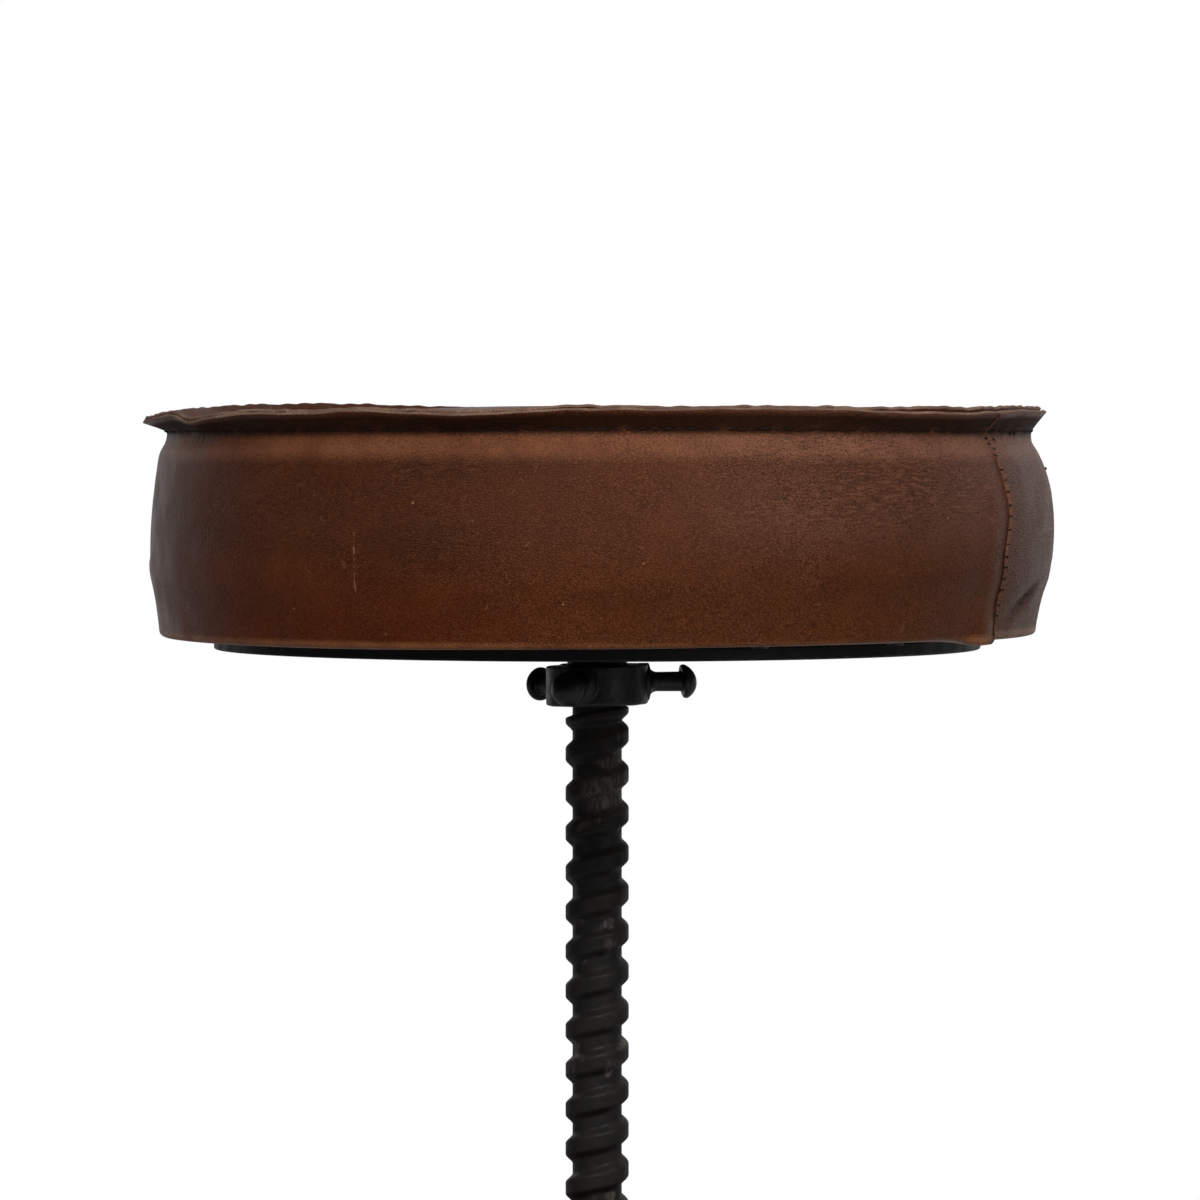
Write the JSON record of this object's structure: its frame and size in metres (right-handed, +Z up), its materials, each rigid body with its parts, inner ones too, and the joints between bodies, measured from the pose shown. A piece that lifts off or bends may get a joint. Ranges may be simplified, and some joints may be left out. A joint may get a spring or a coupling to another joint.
{
  "type": "wind-up stool",
  "caption": "Wind-up stool: round leather cushion seat on a coarse screw spindle that turns in a bronze nut on a base of bent tubular legs with a foot ring.",
  "frame": {"origin": "on the floor, under the spindle's axis", "axes": "+Z up along the spindle, -Y towards the viewer of the picture, +X to the viewer's right"},
  "size_m": [0.4032, 0.4032, 0.7293],
  "materials": {
    "cast_black": "black enamelled casting, satin",
    "black_steel": "satin black paint",
    "spindle_steel": "blackened steel, worn and oiled",
    "plain_steel": "plain steel",
    "dark_fasteners": "black oxide",
    "bronze": "machined bronze",
    "foot_rubber": "matt black rubber",
    "plywood": "raw plywood",
    "foam": "open foam",
    "leather_band": "waxed brown leather with raw edges",
    "leather_top": "waxed brown leather with raw edges"
  },
  "bodies": {
    "base": {"hub": "cast_black", "spindle_nut": "bronze", "nut_screws": "dark_fasteners", "leg_bolts": "dark_fasteners", "leg_washers": "dark_fasteners", "leg_nuts": "dark_fasteners", "foot_discs": "plain_steel", "foot_ring": "black_steel", "ring_saddles": "dark_fasteners", "saddle_washers": "dark_fasteners", "ring_bolts": "dark_fasteners", "ring_cap_nuts": "dark_fasteners", "leg_back_right": "black_steel", "leg_back_left": "black_steel", "leg_front_left": "black_steel", "leg_front_right": "black_steel", "foot_back_right": "foot_rubber", "foot_back_left": "foot_rubber", "foot_front_left": "foot_rubber", "foot_front_right": "foot_rubber"},
    "stop_washer": {"stop_washer": "plain_steel"},
    "seat_and_spindle": {"spindle": "spindle_steel", "stop_bolt": "plain_steel", "turning_collar": "cast_black", "collar_grub_screw": "dark_fasteners", "collar_peg_1": "cast_black", "collar_peg_2": "cast_black", "collar_peg_3": "cast_black", "seat_plate": "black_steel", "plate_screws": "dark_fasteners", "top_washer": "plain_steel", "top_nut": "plain_steel", "seat_board": "plywood", "seat_foam": "foam", "seat_band": "leather_band", "seat_top": "leather_top", "hem_tacks": "dark_fasteners"}
  },
  "joints": [
    {"name": "spindle_lift", "type": "slide", "parent": "base", "child": "stop_washer", "axis": [0, 0, 1], "range_m": [-0.192, 0.04]},
    {"name": "spindle_turn", "type": "hinge", "parent": "stop_washer", "child": "seat_and_spindle", "pos_m": [0, 0, 0.4], "axis": [0, 0, 1], "range_deg": [-4354, 907]}
  ],
  "couplings": [
    {"joint": "spindle_lift", "follows": "spindle_turn", "m_per_rad": 0.0025266}
  ]
}
